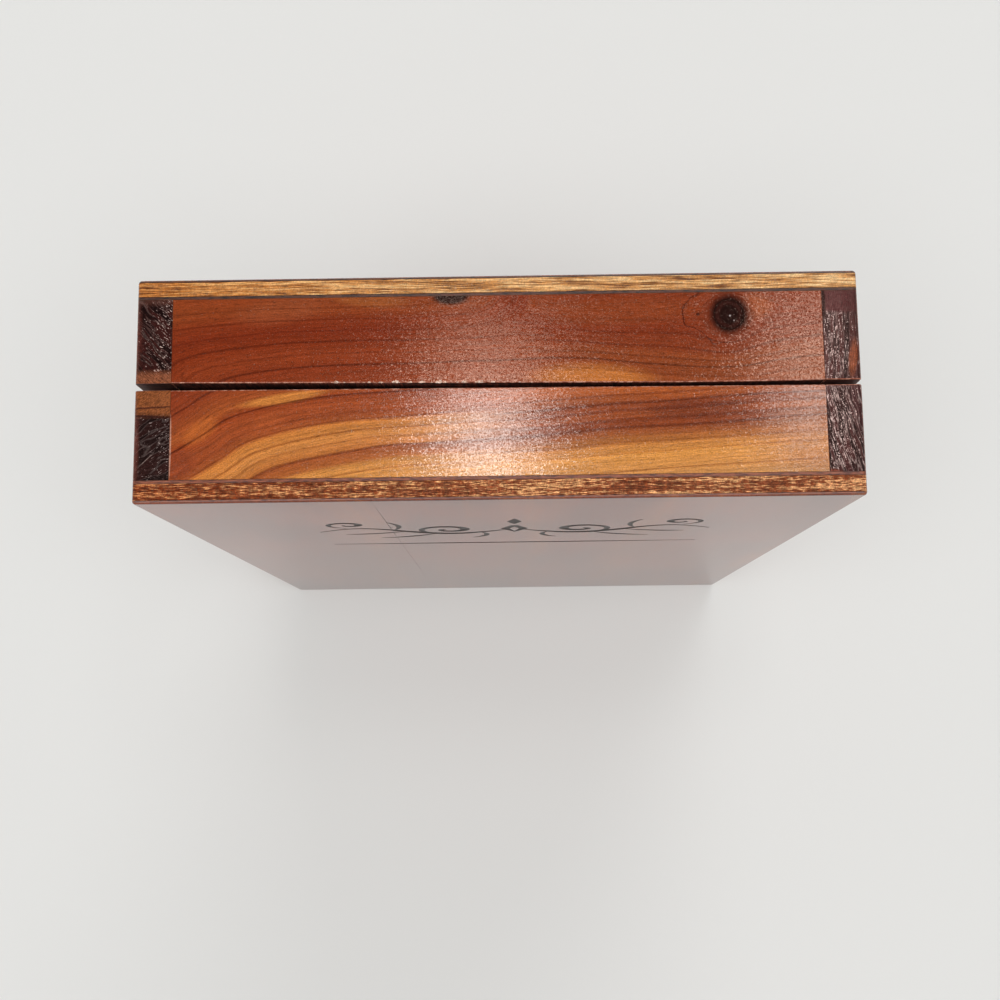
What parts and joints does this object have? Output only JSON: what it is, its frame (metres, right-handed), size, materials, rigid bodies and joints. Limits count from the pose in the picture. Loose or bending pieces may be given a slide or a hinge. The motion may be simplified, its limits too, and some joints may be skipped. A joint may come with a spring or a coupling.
{
  "type": "cedar bible box",
  "caption": "Flat hinged wooden keepsake box in the shape of a book: cedar tray and matching lid on butt hinges, closed by a swing hook.",
  "frame": {"origin": "middle of the foot end, on the surface that the box stands on", "axes": "+Z from the foot end to the head end, +X from the spine with its hinges to the fore edge with its latch, +Y from the lid's face to the base's back"},
  "size_m": [0.1972, 0.06, 0.27],
  "materials": {
    "cedar_boards": "satin varnish",
    "cedar_plies": "gloss varnish",
    "panel_cores": "satin varnish",
    "brass_hardware": "lacquered"
  },
  "bodies": {
    "base": {"base_spine_board": "cedar_boards", "base_fore_edge_board": "cedar_boards", "base_head_board": "cedar_boards", "base_foot_board": "cedar_boards", "base_panel_inner_ply": "cedar_plies", "base_panel_core": "panel_cores", "base_panel_face_ply": "cedar_plies", "hinge_foot_base_leaf": "brass_hardware", "hinge_foot_pin": "brass_hardware", "hinge_foot_base_screw_1": "brass_hardware", "hinge_foot_base_screw_2": "brass_hardware", "hinge_head_base_leaf": "brass_hardware", "hinge_head_pin": "brass_hardware", "hinge_head_base_screw_1": "brass_hardware", "hinge_head_base_screw_2": "brass_hardware", "latch_catch_plate": "brass_hardware", "latch_catch_knob": "brass_hardware", "latch_catch_nail_1": "brass_hardware", "latch_catch_nail_2": "brass_hardware"},
    "lid": {"lid_spine_board": "cedar_boards", "lid_fore_edge_board": "cedar_boards", "lid_head_board": "cedar_boards", "lid_foot_board": "cedar_boards", "lid_panel_inner_ply": "cedar_plies", "lid_panel_core": "panel_cores", "lid_face_ply_spine_side": "cedar_plies", "lid_face_ply_fore_side": "cedar_plies", "hinge_foot_lid_leaf": "brass_hardware", "hinge_foot_lid_screw_1": "brass_hardware", "hinge_foot_lid_screw_2": "brass_hardware", "hinge_head_lid_leaf": "brass_hardware", "hinge_head_lid_screw_1": "brass_hardware", "hinge_head_lid_screw_2": "brass_hardware", "latch_hook_plate": "brass_hardware", "latch_hook_rivet": "brass_hardware", "latch_hook_nail_1": "brass_hardware", "latch_hook_nail_2": "brass_hardware"},
    "hook": {"latch_hook": "brass_hardware"}
  },
  "joints": [
    {"name": "lid_hinge", "type": "hinge", "parent": "base", "child": "lid", "pos_m": [-0.09696, 0.00095, 0.135], "axis": [0, 0, -1], "range_deg": [0, 180]},
    {"name": "hook_swing", "type": "hinge", "parent": "lid", "child": "hook", "pos_m": [0.0958, -0.00918, 0.135], "axis": [1, 0, 0], "range_deg": [-90, 90]}
  ]
}
